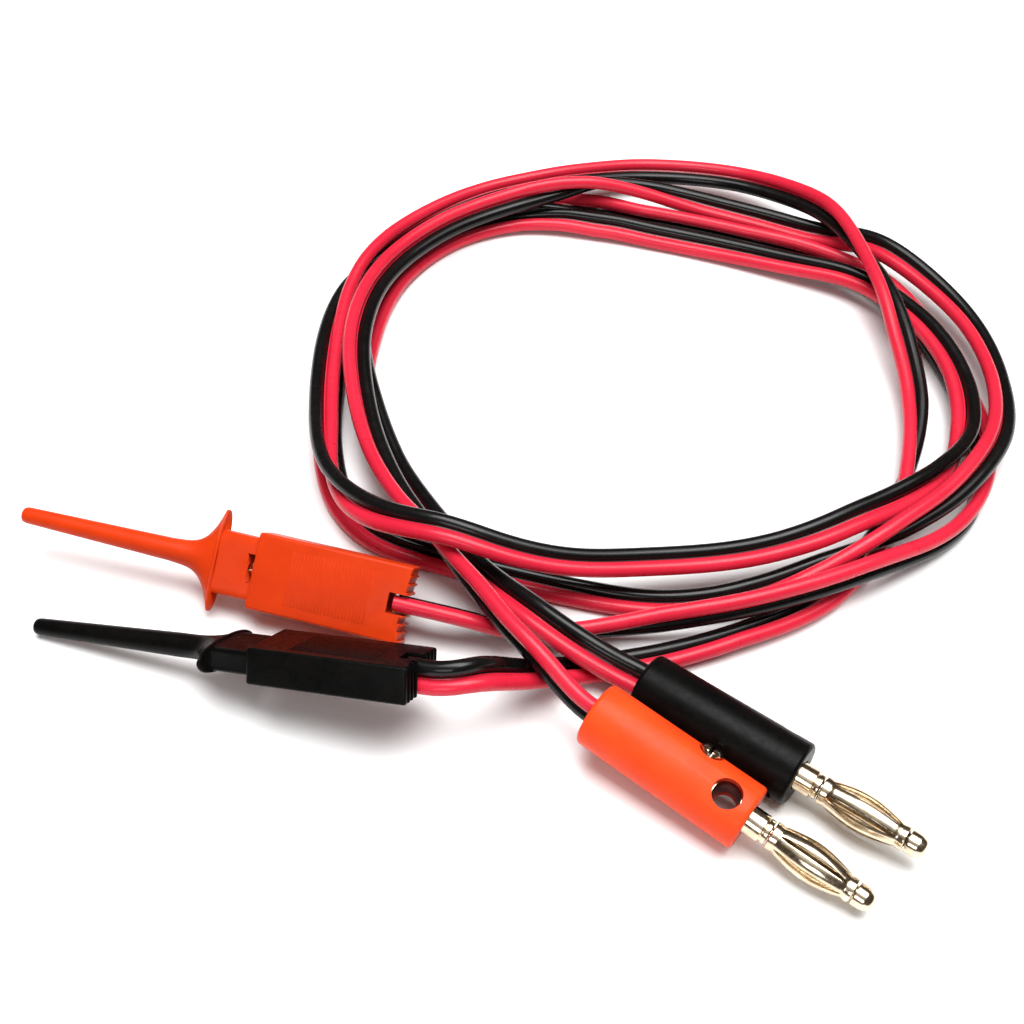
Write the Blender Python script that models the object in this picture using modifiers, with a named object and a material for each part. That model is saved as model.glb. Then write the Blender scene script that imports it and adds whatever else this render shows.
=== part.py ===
"""A pair of bench test leads: a red one and a black one.

Each lead runs from a 4 mm banana plug to a flat spring-loaded mini hook clip on a bonded
red and black twin cord, and both cords lie coiled in two loose turns on the bench.
Metres, +Z up. The bench is at Z = 0, and the origin lies under the middle of the plugs and clips.
"""

import math

import bmesh
import bpy
import numpy as np
from mathutils import Matrix, Vector

MM = 0.001
GAP = 0.25  # clearance between neighbouring pieces, in mm
ORIGIN = (1.83, -0.96, 0.0)  # middle of the plugs and clips on the bench, in layout mm

# Banana plug, along its own axis from the cord end (0) to the tip, in mm
SLEEVE_LENGTH = 24.6
SLEEVE_RADIUS = 4.65
SLEEVE_LIP = 1.0  # wall at the front end
PLUG_LENGTH = 43.0
CORE_RADIUS = 3.0
PIN_RADIUS = 2.0
STACK_HOLE_AT = 20.8
STACK_HOLE_RADIUS = 2.05
SCREW_AT = 16.0
SCREW_TURN = 30.0  # how far the clamp screw leans off square from the stacking hole
SCREW_HEAD_RADIUS = 1.6
SCREW_HEAD_TOP = 5.35  # from the plug's axis
CAGE_START = 28.0
CAGE_END = 40.2
CAGE_BULGE = 2.75
CAGE_WALL = 0.35
CAGE_LEAVES = 6

# Hook clip, along its own axis from the nose tip (0) to the thumb end, in mm
CLIP_LENGTH = 61.0
NOSE_TIP_RADIUS = 1.25
FLANGE_AT = 31.2
FLANGE_SPAN = 15.4
FLANGE_DEPTH = 4.6
NECK_BREADTH = 9.4
NECK_THICKNESS = 3.6
NECK_END = 49.0
SHOULDER = 36.3  # where the neck forks into two prongs around the spring
FORK_GAP = 4.4
BODY_START = 37.6
BODY_BREADTH = 11.4
BODY_THICKNESS = 5.2
BODY_WALL = 0.6
SLOT_WIDTH = 3.0
SLOT_DEPTH = 2.8
HOOK_RADIUS = 0.26
SPRING_RADIUS = 1.4
SPRING_WIRE = 0.2
SPRING_TURNS = 7

# Twin cord, in mm
WIRE_DIAMETER = 2.3
WIRE_PITCH = 2.6  # between the two conductors' middles
WIRE_CLEARANCE = 1.2  # between a conductor and one of another run
WIRE_POINTS = 92
INTO_PLUG = 4.0
INTO_CLIP = 2.0
LEVEL_RISE = 6.0  # height per level from which the runs sink into place

# Where the plugs and clips lie: rear end or nose tip, heading, fall towards the far end, roll
PLUGS = {
    "red": {"at": (23.2, -5.7, 7.5), "heading": -36.5, "fall": 6.2, "roll": 13.0},
    "black": {"at": (30.5, 0.8, SLEEVE_RADIUS), "heading": -36.3, "fall": 0.0, "roll": -75.0},
}
CLIPS = {
    "red": {"at": (-61.8, 29.0, 7.85), "heading": -14.9, "fall": 1.8, "roll": 40.0},
    "black": {"at": (-58.1, 13.0, 1.3), "heading": -15.2, "fall": -10.0, "roll": -39.0},
}

# Each lead's route, from its plug to its clip, in mm: x, y, roll of the twin in degrees
# (0 has red on the left of the way it runs, 90 has red on top), and level. Where two runs
# cross, the one with the higher level passes over.
RED_ROUTE = [
    (18.5, -1.5, 90, 3), (13.0, 4.5, 90, 3), (7.0, 14.0, 90, 3), (1.0, 23.5, 70, 3),
    (-4.0, 31.0, 45, 3), (-9.0, 41.5, 30, 3), (-13.0, 56.0, 25, 3), (-14.5, 72.5, 25, 3),
    (-12.0, 86.0, 40, 3), (-1.5, 99.5, 45, 3), (13.5, 107.5, 45, 3.3), (21.0, 109.5, 90, 3.3),
    (29.0, 111.0, 150, 3.3), (48.0, 109.0, 210, 3), (62.5, 104.5, 215, 3), (74.5, 97.0, 210, 3),
    (84.0, 88.0, 190, 3), (91.5, 75.0, 165, 2), (93.0, 60.0, 150, 2), (90.0, 47.0, 155, 2),
    (82.0, 35.5, 130, 1), (71.0, 27.5, 100, 0), (59.0, 21.0, 30, 0), (47.5, 17.5, 0, 0),
    (34.0, 16.5, 0, 0), (22.0, 19.0, 0, 1), (10.0, 22.5, 0, 1), (-0.5, 26.0, 0, 1),
    (-9.0, 29.5, 0, 1), (-15.0, 36.5, 0, 1), (-18.0, 47.0, 0, 1), (-19.0, 62.0, 0, 1),
    (-18.5, 79.5, 0, 1), (-14.0, 93.5, 0, 1), (-2.5, 107.0, 0, 1), (6.0, 112.0, 5, 1),
    (13.5, 113.0, 5, 1.2), (21.0, 111.0, 20, 1.9), (28.5, 108.0, 60, 2.1), (36.0, 106.0, 90, 3),
    (54.5, 101.0, 90, 3.5), (68.5, 96.0, 60, 3), (78.5, 89.5, 30, 1), (85.0, 75.5, 20, 1),
    (88.5, 59.5, 0, 1), (89.0, 52.0, 20, 1), (88.0, 44.0, 60, 1), (83.0, 33.5, 90, 1.5),
    (78.0, 29.0, 90, 2), (71.0, 25.0, 90, 2), (58.5, 18.5, 90, 2), (45.0, 13.5, 90, 2),
    (33.5, 12.0, 90, 1.5), (22.0, 11.0, 60, 1), (10.5, 11.0, 45, 1), (4.5, 11.5, 50, 1),
]
BLACK_ROUTE = [
    (24.5, 4.0, -40, 2), (19.0, 7.5, -30, 2), (16.0, 10.0, -25, 2), (13.0, 13.0, -20, 2),
    (10.0, 16.5, -15, 2), (4.5, 23.5, -5, 2), (-2.0, 34.0, 0, 2), (-7.5, 44.5, 0, 2),
    (-11.5, 57.5, -50, 2), (-13.0, 75.0, -130, 2), (-10.0, 89.5, -180, 2), (-1.5, 101.0, -180, 1.4),
    (13.5, 107.5, -180, 0.8), (28.5, 107.0, -150, 0.8), (43.5, 102.0, -150, 1),
    (61.5, 94.0, -170, 1.5), (74.5, 87.5, -180, 2), (82.5, 76.5, -180, 2), (87.0, 62.0, -180, 2),
    (86.0, 50.0, -150, 3), (80.0, 39.0, -70, 3), (68.5, 29.0, -20, 3.5), (52.5, 23.5, 0, 4),
    (31.0, 20.5, 0, 4), (19.0, 19.0, 0, 4), (4.5, 21.0, 0, 4), (-5.0, 24.5, -15, 4),
    (-12.0, 30.0, -55, 4), (-16.5, 38.0, -105, 4), (-18.5, 50.0, -160, 4), (-19.0, 68.0, -180, 4),
    (-16.5, 84.0, -230, 4), (-9.5, 96.0, -300, 4), (6.0, 110.0, -340, 4), (21.5, 115.0, -345, 4),
    (37.0, 119.0, -330, 4), (56.0, 115.5, -330, 5), (69.5, 103.0, -290, 5), (76.0, 85.0, -225, 5),
    (78.5, 70.0, -190, 4), (79.0, 57.0, -200, 0), (75.5, 43.0, -260, -1), (69.5, 30.5, -320, -1),
    (59.5, 18.5, -350, -1), (45.0, 11.0, -335, -1), (33.5, 7.2, -345, 0), (22.0, 4.8, -350, 0),
    (16.0, 2.5, -360, 0), (10.5, -1.0, -385, 0), (6.0, -3.5, -411, 0),
]

BOUND = bpy.data.collections.new("test_leads")
CUTTERS = bpy.data.collections.new("cutters")


def clear_scene():
    for obj in list(bpy.data.objects):
        bpy.data.objects.remove(obj, do_unlink=True)
    bpy.context.scene.collection.children.link(BOUND)
    bpy.context.scene.collection.children.link(CUTTERS)


def material(name, colour, roughness, metallic=0.0):
    mat = bpy.data.materials.get(name)
    if mat is None:
        mat = bpy.data.materials.new(name)
        mat.use_nodes = True
        shader = mat.node_tree.nodes["Principled BSDF"]
        shader.inputs["Base Color"].default_value = (*colour, 1.0)
        shader.inputs["Roughness"].default_value = roughness
        shader.inputs["Metallic"].default_value = metallic
    return mat


def orange_plastic():
    return material("orange_plastic", (0.86, 0.10, 0.02), 0.42)


def black_plastic():
    return material("black_plastic", (0.012, 0.012, 0.012), 0.4)


def red_insulation():
    return material("red_insulation", (0.62, 0.02, 0.035), 0.35)


def black_insulation():
    return material("black_insulation", (0.01, 0.01, 0.01), 0.3)


def nickel():
    return material("nickel", (0.72, 0.66, 0.56), 0.22, 1.0)


def spring_steel():
    return material("spring_steel", (0.55, 0.5, 0.44), 0.3, 1.0)


def copper():
    return material("copper", (0.72, 0.35, 0.2), 0.35, 1.0)


def solder():
    return material("solder", (0.6, 0.6, 0.6), 0.4, 1.0)


def add_object(name, data, frame, mat, collection=BOUND):
    """A new object for data, standing in the frame of the plug or clip that it belongs to."""
    obj = bpy.data.objects.new(name, data)
    collection.objects.link(obj)
    obj.parent = frame
    if mat is not None:
        data.materials.append(mat)
    return obj


def finish_mesh(bm, name, smooth_angle=30.0):
    bmesh.ops.recalc_face_normals(bm, faces=bm.faces)
    mesh = bpy.data.meshes.new(name)
    bm.to_mesh(mesh)
    bm.free()
    mesh.shade_smooth()
    mesh.set_sharp_from_angle(angle=math.radians(smooth_angle))
    return mesh


def place_frame(name, at, heading, roll, fall=0.0):
    """An empty whose Z axis runs along a plug or clip: X points down before the roll."""
    empty = bpy.data.objects.new(name, None)
    BOUND.objects.link(empty)
    turn = Matrix.Rotation(math.radians(heading), 4, "Z")
    turn = turn @ Matrix.Rotation(math.radians(90.0 + fall), 4, "Y")
    turn = turn @ Matrix.Rotation(math.radians(roll), 4, "Z")
    empty.matrix_world = Matrix.Translation((Vector(at) - Vector(ORIGIN)) * MM) @ turn
    return empty


def turned(name, outline, frame, mat, steps=24, closed=False):
    """A piece turned about Z from an outline of (radius, height) in mm."""
    mesh = bpy.data.meshes.new(name)
    points = [(radius * MM, 0.0, height * MM) for radius, height in outline]
    edges = [(i, i + 1) for i in range(len(points) - 1)]
    if closed:
        edges.append((len(points) - 1, 0))
    mesh.from_pydata(points, edges, [])
    obj = add_object(name, mesh, frame, mat)
    screw = obj.modifiers.new("turn", "SCREW")
    screw.axis = "Z"
    screw.steps = steps
    screw.render_steps = steps
    screw.use_merge_vertices = True
    screw.merge_threshold = 0.00001
    screw.use_smooth_shade = True
    return obj


def cut(obj, cutter, operation="DIFFERENCE"):
    boolean = obj.modifiers.new(cutter.name, "BOOLEAN")
    boolean.operation = operation
    boolean.solver = "EXACT"
    boolean.object = cutter


def cutter_object(name, bm, frame):
    obj = add_object(name, finish_mesh(bm, name), frame, None, CUTTERS)
    obj.hide_render = True
    obj.display_type = "WIRE"
    return obj


def box_cutter(name, frame, low, high, turn=0.0, axis="Z"):
    """A box from corner low to corner high, in mm, turned about an axis through its middle."""
    bm = bmesh.new()
    bmesh.ops.create_cube(bm, size=1.0)
    size = [(b - a) * MM for a, b in zip(low, high)]
    middle = Vector([(a + b) / 2 * MM for a, b in zip(low, high)])
    bmesh.ops.scale(bm, vec=size, verts=bm.verts)
    bmesh.ops.rotate(bm, matrix=Matrix.Rotation(math.radians(turn), 3, axis), verts=bm.verts)
    bmesh.ops.translate(bm, vec=middle, verts=bm.verts)
    return cutter_object(name, bm, frame)


def hole_cutter(name, frame, radius, start, end, axis="Z", at=0.0, sides=20):
    """A cylinder along an axis from start to end, in mm; across the piece, at is its height."""
    bm = bmesh.new()
    bmesh.ops.create_cone(
        bm, cap_ends=True, segments=sides, radius1=radius * MM, radius2=radius * MM,
        depth=(end - start) * MM,
    )
    bmesh.ops.translate(bm, vec=(0, 0, (start + end) / 2 * MM), verts=bm.verts)
    if axis == "X":
        bmesh.ops.rotate(bm, matrix=Matrix.Rotation(math.pi / 2, 3, "Y"), verts=bm.verts)
    if axis == "Y":
        bmesh.ops.rotate(bm, matrix=Matrix.Rotation(-math.pi / 2, 3, "X"), verts=bm.verts)
    if axis != "Z":
        bmesh.ops.translate(bm, vec=(0, 0, at * MM), verts=bm.verts)
    return cutter_object(name, bm, frame)


def tube(name, points, radius, frame, mat, resolution=2):
    """A wire along points in mm, with closed ends."""
    curve = bpy.data.curves.new(name, "CURVE")
    curve.dimensions = "3D"
    curve.bevel_depth = radius * MM
    curve.bevel_resolution = resolution
    curve.use_fill_caps = True
    line = curve.splines.new("POLY")
    line.points.add(len(points) - 1)
    for point, place in zip(line.points, points):
        point.co = (*(c * MM for c in place), 1.0)
    return add_object(name, curve, frame, mat)


# Banana plug ---------------------------------------------------------------------------


def make_sleeve(name, frame, seat, mat):
    bore = CORE_RADIUS + GAP
    lip = PIN_RADIUS + GAP
    round_edge = 0.7
    outline = [
        (SLEEVE_RADIUS - round_edge, SLEEVE_LENGTH),
        (SLEEVE_RADIUS - round_edge * 0.3, SLEEVE_LENGTH - round_edge * 0.3),
        (SLEEVE_RADIUS, SLEEVE_LENGTH - round_edge),
        (SLEEVE_RADIUS, round_edge),
        (SLEEVE_RADIUS - round_edge * 0.3, round_edge * 0.3),
        (SLEEVE_RADIUS - round_edge, 0.0),
        (bore, 0.0),
        (bore, SLEEVE_LENGTH - SLEEVE_LIP),
        (lip, SLEEVE_LENGTH - SLEEVE_LIP),
        (lip, SLEEVE_LENGTH),
    ]
    sleeve = turned(name, outline, frame, mat, closed=True)
    reach = SLEEVE_RADIUS + 1.0
    hole = hole_cutter(
        name + "_cross", frame, STACK_HOLE_RADIUS, -reach, reach, "X", STACK_HOLE_AT
    )
    cut(sleeve, hole)
    pocket = hole_cutter(
        name + "_pocket", seat, SCREW_HEAD_RADIUS + GAP, CORE_RADIUS - 0.5, reach, sides=16
    )
    cut(sleeve, pocket)
    return sleeve


def make_core(name, frame, seat, mat):
    """The turned metal body: wire socket, stacking hole, collar, and the pin that holds the cage."""
    socket = 1.6
    shoulder = SLEEVE_LENGTH - SLEEVE_LIP - GAP
    stem = 1.0
    outline = [
        (0.0, PLUG_LENGTH),
        (0.8, PLUG_LENGTH - 0.1),
        (1.45, PLUG_LENGTH - 0.5),
        (1.85, PLUG_LENGTH - 1.3),
        (1.85, CAGE_END + GAP),
        (stem, CAGE_END + GAP),
        (stem, CAGE_START - GAP),
        (PIN_RADIUS, CAGE_START - GAP),
        (PIN_RADIUS, shoulder),
        (CORE_RADIUS, shoulder),
        (CORE_RADIUS, 7.0),
        (socket, 7.0),
        (socket, 18.0),
        (0.0, 18.0),
    ]
    core = turned(name, outline, frame, mat, steps=20)
    reach = CORE_RADIUS + 1.0
    hole = hole_cutter(
        name + "_cross", frame, STACK_HOLE_RADIUS - 0.1, -reach, reach, "X", STACK_HOLE_AT
    )
    cut(core, hole)
    cut(core, hole_cutter(name + "_thread", seat, 1.25, 0.5, reach, sides=12))
    return core


def screw_seat(name, frame):
    """An empty on the plug's axis whose Z runs out along the clamp screw."""
    seat = bpy.data.objects.new(name, None)
    BOUND.objects.link(seat)
    seat.parent = frame
    seat.location = (0, 0, SCREW_AT * MM)
    seat.rotation_euler = (-math.pi / 2, 0, math.radians(SCREW_TURN))
    return seat


def make_screw(name, seat, mat):
    outline = [
        (0.0, SCREW_HEAD_TOP),
        (1.1, SCREW_HEAD_TOP - 0.05),
        (SCREW_HEAD_RADIUS - 0.1, SCREW_HEAD_TOP - 0.3),
        (SCREW_HEAD_RADIUS, SCREW_HEAD_TOP - 0.7),
        (SCREW_HEAD_RADIUS, CORE_RADIUS + 0.3),
        (1.0, CORE_RADIUS + 0.3),
        (1.0, 1.45),
        (0.0, 1.45),
    ]
    screw = turned(name, outline, seat, mat, steps=16)
    top = SCREW_HEAD_TOP
    cut(screw, box_cutter(name + "_slot", seat, (-3, -0.3, top - 0.7), (3, 0.3, top + 1.0)))
    return screw


def make_cage(name, frame, mat):
    """The lantern spring: two end rings joined by bowed leaves."""
    length = CAGE_END - CAGE_START
    ring = 1.1
    bows = 5
    rise = CAGE_BULGE - PIN_RADIUS
    outer = [(PIN_RADIUS, CAGE_START), (PIN_RADIUS, CAGE_START + ring)]
    for i in range(1, bows):
        share = i / bows
        height = CAGE_START + ring + (length - 2 * ring) * share
        fall = 0.25 * share
        outer.append((PIN_RADIUS - fall + rise * math.sin(math.pi * share), height))
    outer += [(PIN_RADIUS - 0.25, CAGE_END - ring), (PIN_RADIUS - 0.25, CAGE_END)]
    inner = [(radius - CAGE_WALL, height) for radius, height in outer[2:-2]]
    stem = 1.0 + GAP
    inner = [(stem, CAGE_START), (stem, CAGE_START + ring), *inner]
    inner += [(stem, CAGE_END - ring), (stem, CAGE_END)]
    cage = turned(name, outer[::-1] + inner, frame, mat, steps=24, closed=True)
    low, high = CAGE_START + ring + 0.3, CAGE_END - ring - 0.3
    for i in range(CAGE_LEAVES // 2):
        slit = box_cutter(
            f"{name}_slit_{i}", frame, (-4, -0.3, low), (4, 0.3, high), 180.0 / (CAGE_LEAVES // 2) * i
        )
        cut(cage, slit)
    return cage


def make_plug(colour, plastic):
    spot = PLUGS[colour]
    frame = place_frame(f"{colour}_plug_frame", spot["at"], spot["heading"], spot["roll"], spot["fall"])
    seat = screw_seat(f"{colour}_plug_screw_seat", frame)
    make_sleeve(f"{colour}_plug_sleeve", frame, seat, plastic)
    make_core(f"{colour}_plug_pin", frame, seat, nickel())
    make_cage(f"{colour}_plug_spring_cage", frame, nickel())
    make_screw(f"{colour}_plug_clamp_screw", seat, nickel())
    tail = [(1.05, 17.2), (1.05, 8.3), (0.0, 8.3)]
    turned(f"{colour}_plug_stripped_wire", [(0.0, 17.2), *tail], frame, copper(), steps=10)


# Hook clip -----------------------------------------------------------------------------


def ring_points(half_depth, half_span, squareness, height, count=20):
    """One cross-section of the nose: round at squareness 2, nearly a rectangle at 8."""
    points = []
    for i in range(count):
        angle = 2 * math.pi * (i + 0.5) / count
        c, s = math.cos(angle), math.sin(angle)
        x = half_depth * math.copysign(abs(c) ** (2 / squareness), c)
        y = half_span * math.copysign(abs(s) ** (2 / squareness), s)
        points.append(Vector((x, y, height)) * MM)
    return points


def loft(name, sections, frame, mat):
    bm = bmesh.new()
    rings = [[bm.verts.new(p) for p in ring_points(*section)] for section in sections]
    for lower, upper in zip(rings, rings[1:]):
        for i in range(len(lower)):
            j = (i + 1) % len(lower)
            bm.faces.new((lower[i], lower[j], upper[j], upper[i]))
    bm.faces.new(rings[0][::-1])
    bm.faces.new(rings[-1])
    return add_object(name, finish_mesh(bm, name), frame, mat)


def make_nose(name, frame, mat):
    """Barrel, finger flange and forked neck, moulded in one piece."""
    span, depth = FLANGE_SPAN / 2, FLANGE_DEPTH / 2
    neck_span, neck_depth = NECK_BREADTH / 2, NECK_THICKNESS / 2
    sections = [
        (0.85, 0.85, 2, 0.0),
        (NOSE_TIP_RADIUS, NOSE_TIP_RADIUS, 2, 0.5),
        (1.4, 1.4, 2, 12.0),
        (1.75, 1.75, 2, 25.0),
        (1.85, 2.3, 2.4, 27.2),
        (1.95, 3.4, 3, 29.0),
        (2.1, 5.2, 4, 30.2),
        (depth, span - 0.2, 7, FLANGE_AT - 0.3),
        (depth, span, 8, FLANGE_AT),
        (depth, span - 0.1, 8, FLANGE_AT + 0.6),
        (neck_depth, neck_span, 8, FLANGE_AT + 1.1),
        (neck_depth, neck_span, 8, NECK_END),
    ]
    nose = loft(name, sections, frame, mat)
    cut(nose, hole_cutter(name + "_bore", frame, 0.6, -1.0, SHOULDER + 1.0, sides=10))
    cut(nose, hole_cutter(name + "_mouth", frame, 0.95, -1.0, 3.4, sides=12))
    half = FORK_GAP / 2
    cut(nose, box_cutter(name + "_fork", frame, (-3, -half, SHOULDER), (3, half, NECK_END + 1)))
    return nose


def make_thumb_body(name, frame, mat):
    """The sleeve that the thumb pushes: open at the front, with a cord slot and a stepped rear edge."""
    bm = bmesh.new()
    bmesh.ops.create_cube(bm, size=1.0)
    length = CLIP_LENGTH - BODY_START
    bmesh.ops.scale(bm, vec=(BODY_THICKNESS * MM, BODY_BREADTH * MM, length * MM), verts=bm.verts)
    bmesh.ops.translate(bm, vec=(0, 0, (BODY_START + length / 2) * MM), verts=bm.verts)
    body = add_object(name, finish_mesh(bm, name), frame, mat)
    bevel = body.modifiers.new("rounded", "BEVEL")
    bevel.width = 0.45 * MM
    bevel.segments = 2
    half_x = BODY_THICKNESS / 2 - BODY_WALL
    half_y = BODY_BREADTH / 2 - BODY_WALL
    cavity = box_cutter(
        name + "_cavity", frame, (-half_x, -half_y, BODY_START - 1), (half_x, half_y, CLIP_LENGTH - 3.6)
    )
    cut(body, cavity)
    half_slot = SLOT_WIDTH / 2
    slot = box_cutter(
        name + "_slot", frame, (-4, -half_slot, CLIP_LENGTH - SLOT_DEPTH), (4, half_slot, CLIP_LENGTH + 1)
    )
    cut(body, slot)
    way = box_cutter(
        name + "_way", frame, (-half_x, -half_slot, CLIP_LENGTH - 4.5), (half_x, half_slot, CLIP_LENGTH)
    )
    cut(body, way)
    for i, at in enumerate((-4.3, -2.9, 2.9, 4.3)):
        notch = box_cutter(
            f"{name}_notch_{i}", frame, (-4, at - 0.35, CLIP_LENGTH - 0.35),
            (4, at + 0.35, CLIP_LENGTH + 0.35), 45, "X",
        )
        cut(body, notch)
    return body


def make_hook(name, frame, mat):
    """The contact wire, from its crimp in the body to the small hook inside the nose tip."""
    shaft = -0.3
    bend = 0.3
    points = [(0.0, shaft, 55.0), (0.0, shaft, 40.0), (0.0, shaft, 20.0), (0.0, shaft, 1.4)]
    for i in range(1, 5):
        angle = math.pi * i / 5
        points.append((0.0, shaft + bend - bend * math.cos(angle), 1.4 - bend * math.sin(angle)))
    points += [(0.0, shaft + 2 * bend, 1.4), (0.0, shaft + 2 * bend, 2.4)]
    return tube(name, points, HOOK_RADIUS, frame, mat, 1)


def make_spring(name, frame, mat):
    low, high = SHOULDER + GAP + SPRING_WIRE, 48.6
    count = SPRING_TURNS * 10
    points = []
    for i in range(count + 1):
        angle = 2 * math.pi * SPRING_TURNS * i / count
        height = low + (high - low) * i / count
        points.append((SPRING_RADIUS * math.cos(angle), SPRING_RADIUS * math.sin(angle), height))
    return tube(name, points, SPRING_WIRE, frame, mat, 1)


def make_crimp(name, frame, mat):
    """The ferrule that joins the hook's tail to the cord."""
    outline = [
        (1.3, 56.8), (1.45, 56.3), (1.45, 49.6), (1.3, 49.1),
        (0.85, 49.1), (0.85, 55.4), (0.0, 55.4),
    ]
    return turned(name, [(0.0, 56.8), *outline], frame, mat, steps=14)


def make_clip(colour, plastic):
    spot = CLIPS[colour]
    frame = place_frame(f"{colour}_clip_frame", spot["at"], spot["heading"], spot["roll"], spot["fall"])
    make_nose(f"{colour}_clip_nose", frame, plastic)
    make_thumb_body(f"{colour}_clip_thumb_body", frame, plastic)
    make_hook(f"{colour}_clip_hook", frame, nickel())
    make_spring(f"{colour}_clip_spring", frame, spring_steel())
    make_crimp(f"{colour}_clip_crimp", frame, solder())


# Cords ---------------------------------------------------------------------------------


def spline_through(values, knots, at):
    """Values of a smooth (Catmull-Rom) curve through the rows of values, at the given parameters."""
    slopes = np.gradient(values, knots, axis=0, edge_order=1)
    index = np.clip(np.searchsorted(knots, at, side="right") - 1, 0, len(knots) - 2)
    width = knots[index + 1] - knots[index]
    t = ((at - knots[index]) / width)[:, None]
    width = width[:, None]
    a, b = values[index], values[index + 1]
    m, n = slopes[index] * width, slopes[index + 1] * width
    t2, t3 = t * t, t * t * t
    return (2 * t3 - 3 * t2 + 1) * a + (t3 - 2 * t2 + t) * m + (3 * t2 - 2 * t3) * b + (t3 - t2) * n


def lay_out(route, step=1.25):
    """Even samples along a route in plan: places, left-hand directions, roll and level."""
    rows = np.array(route, float)
    knots = np.concatenate([[0.0], np.cumsum(np.linalg.norm(np.diff(rows[:, :2], axis=0), axis=1))])
    at = np.linspace(0.0, knots[-1], int(knots[-1] / step) + 1)
    places = spline_through(rows[:, :2], knots, at)
    ahead = np.gradient(places, axis=0)
    ahead /= np.linalg.norm(ahead, axis=1)[:, None]
    left = np.stack([-ahead[:, 1], ahead[:, 0]], axis=1)
    roll = np.radians(np.interp(at, knots, rows[:, 2]))
    level = np.interp(at, knots, rows[:, 3])
    return {"at": at, "places": places, "left": left, "roll": roll, "level": level}


def eased(t):
    t = np.clip(t, 0.0, 1.0)
    return t * t * (3 - 2 * t)


def twin_offsets(places, left, roll, count):
    """From the middle of the twin to its red conductor, square to the way the cord runs."""
    ahead = np.empty_like(places)
    for start, end in ((0, count), (count, len(places))):
        ahead[start:end] = np.gradient(places[start:end], axis=0)
    ahead /= np.linalg.norm(ahead, axis=1)[:, None]
    level_left = np.column_stack([left, np.zeros(len(left))])
    up = np.cross(ahead, level_left)
    up /= np.linalg.norm(up, axis=1)[:, None]
    across = np.cos(roll)[:, None] * level_left + np.sin(roll)[:, None] * up
    return across * WIRE_PITCH / 2


def settle(leads):
    """Lets both twins sink onto the bench and onto each other, from heights set by their levels."""
    radius, clear = WIRE_DIAMETER / 2, WIRE_DIAMETER + WIRE_CLEARANCE
    count = len(leads[0]["at"])
    plan = np.concatenate([lead["places"] for lead in leads])
    left = np.concatenate([lead["left"] for lead in leads])
    roll = np.concatenate([lead["roll"] for lead in leads])
    level = np.concatenate([lead["level"] for lead in leads])
    held = np.concatenate([lead["held"] for lead in leads])
    hold = np.concatenate([lead["hold"] for lead in leads])
    number = np.arange(len(plan)) + 10000 * (np.arange(len(plan)) >= count)
    number = np.concatenate([number, number])
    height = held * hold + (radius + WIRE_PITCH / 2 + LEVEL_RISE * level) * (1 - hold)
    places = np.column_stack([plan, height])
    index = np.arange(len(plan))
    first_of = np.where(index < count, 0, count)
    last_of = np.where(index < count, count - 1, len(plan) - 1)
    stages = [(560, 0.08, 0.5), (200, 0.02, 0.3), (120, 0.0, 0.1)]
    steps = [(sink, stiff) for turns, sink, stiff in stages for _ in range(turns)]
    for turn, (sink, stiff) in enumerate(steps):
        if turn % 20 == 0:
            offset = twin_offsets(places, left, roll, count)
            both = np.concatenate([places + offset, places - offset])
            spread = np.linalg.norm(both[:, None, :2] - both[None, :, :2], axis=2)
            near = (spread < clear + 2.5) & (np.abs(number[:, None] - number[None, :]) > 9)
            first, second = np.nonzero(np.triu(near))
            rank = level[first % len(plan)] - level[second % len(plan)]
        places[:, 2] -= sink
        shift = places - np.column_stack([plan, np.zeros(len(plan))])
        for reach in (1, 3, 6):
            room = np.minimum(reach, np.minimum(index - first_of, last_of - index))
            places += stiff * ((shift[index - room] + shift[index + room]) / 2 - shift) / reach
        places[:, :2] += 0.02 * (plan - places[:, :2])
        both = np.concatenate([places + offset, places - offset])
        gap = both[first] - both[second]
        aside = np.linalg.norm(gap[:, :2], axis=1)
        far = np.linalg.norm(gap, axis=1)
        push = gap * ((clear - far) / far)[:, None] / 2
        stacked = (np.abs(rank) > 0.8) & (aside < 0.7 * clear)
        lack = np.sqrt(np.maximum(clear**2 - aside**2, 0.0)) - np.sign(rank) * gap[:, 2]
        push[stacked] = 0.0
        push[stacked, 2] = (np.sign(rank) * lack)[stacked] / 2
        touching = np.where(stacked, lack > 0, far < clear)
        push = push[touching]
        one, other = first[touching] % len(plan), second[touching] % len(plan)
        moves = np.zeros_like(places)
        tally = np.ones(len(plan))
        np.add.at(moves, one, push)
        np.add.at(moves, other, -push)
        np.add.at(tally, one, 1)
        np.add.at(tally, other, 1)
        moves /= np.sqrt(tally)[:, None]
        places += np.clip(moves, -0.5, 0.5)
        floor = radius + np.abs(offset[:, 2])
        places[:, 2] = np.maximum(places[:, 2], floor)
        places[:, 2] += (held - places[:, 2]) * hold
        places[:, :2] += (plan - places[:, :2]) * hold[:, None]
    for _ in range(12):
        room = np.minimum(1, np.minimum(index - first_of, last_of - index))
        middle = (places[index - room] + places[index + room]) / 2
        places += 0.5 * (middle - places) * (1 - hold)[:, None]
    offset = twin_offsets(places, left, roll, count)
    places[:, 2] = np.maximum(places[:, 2], radius + np.abs(offset[:, 2]))
    return places, offset, count


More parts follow.
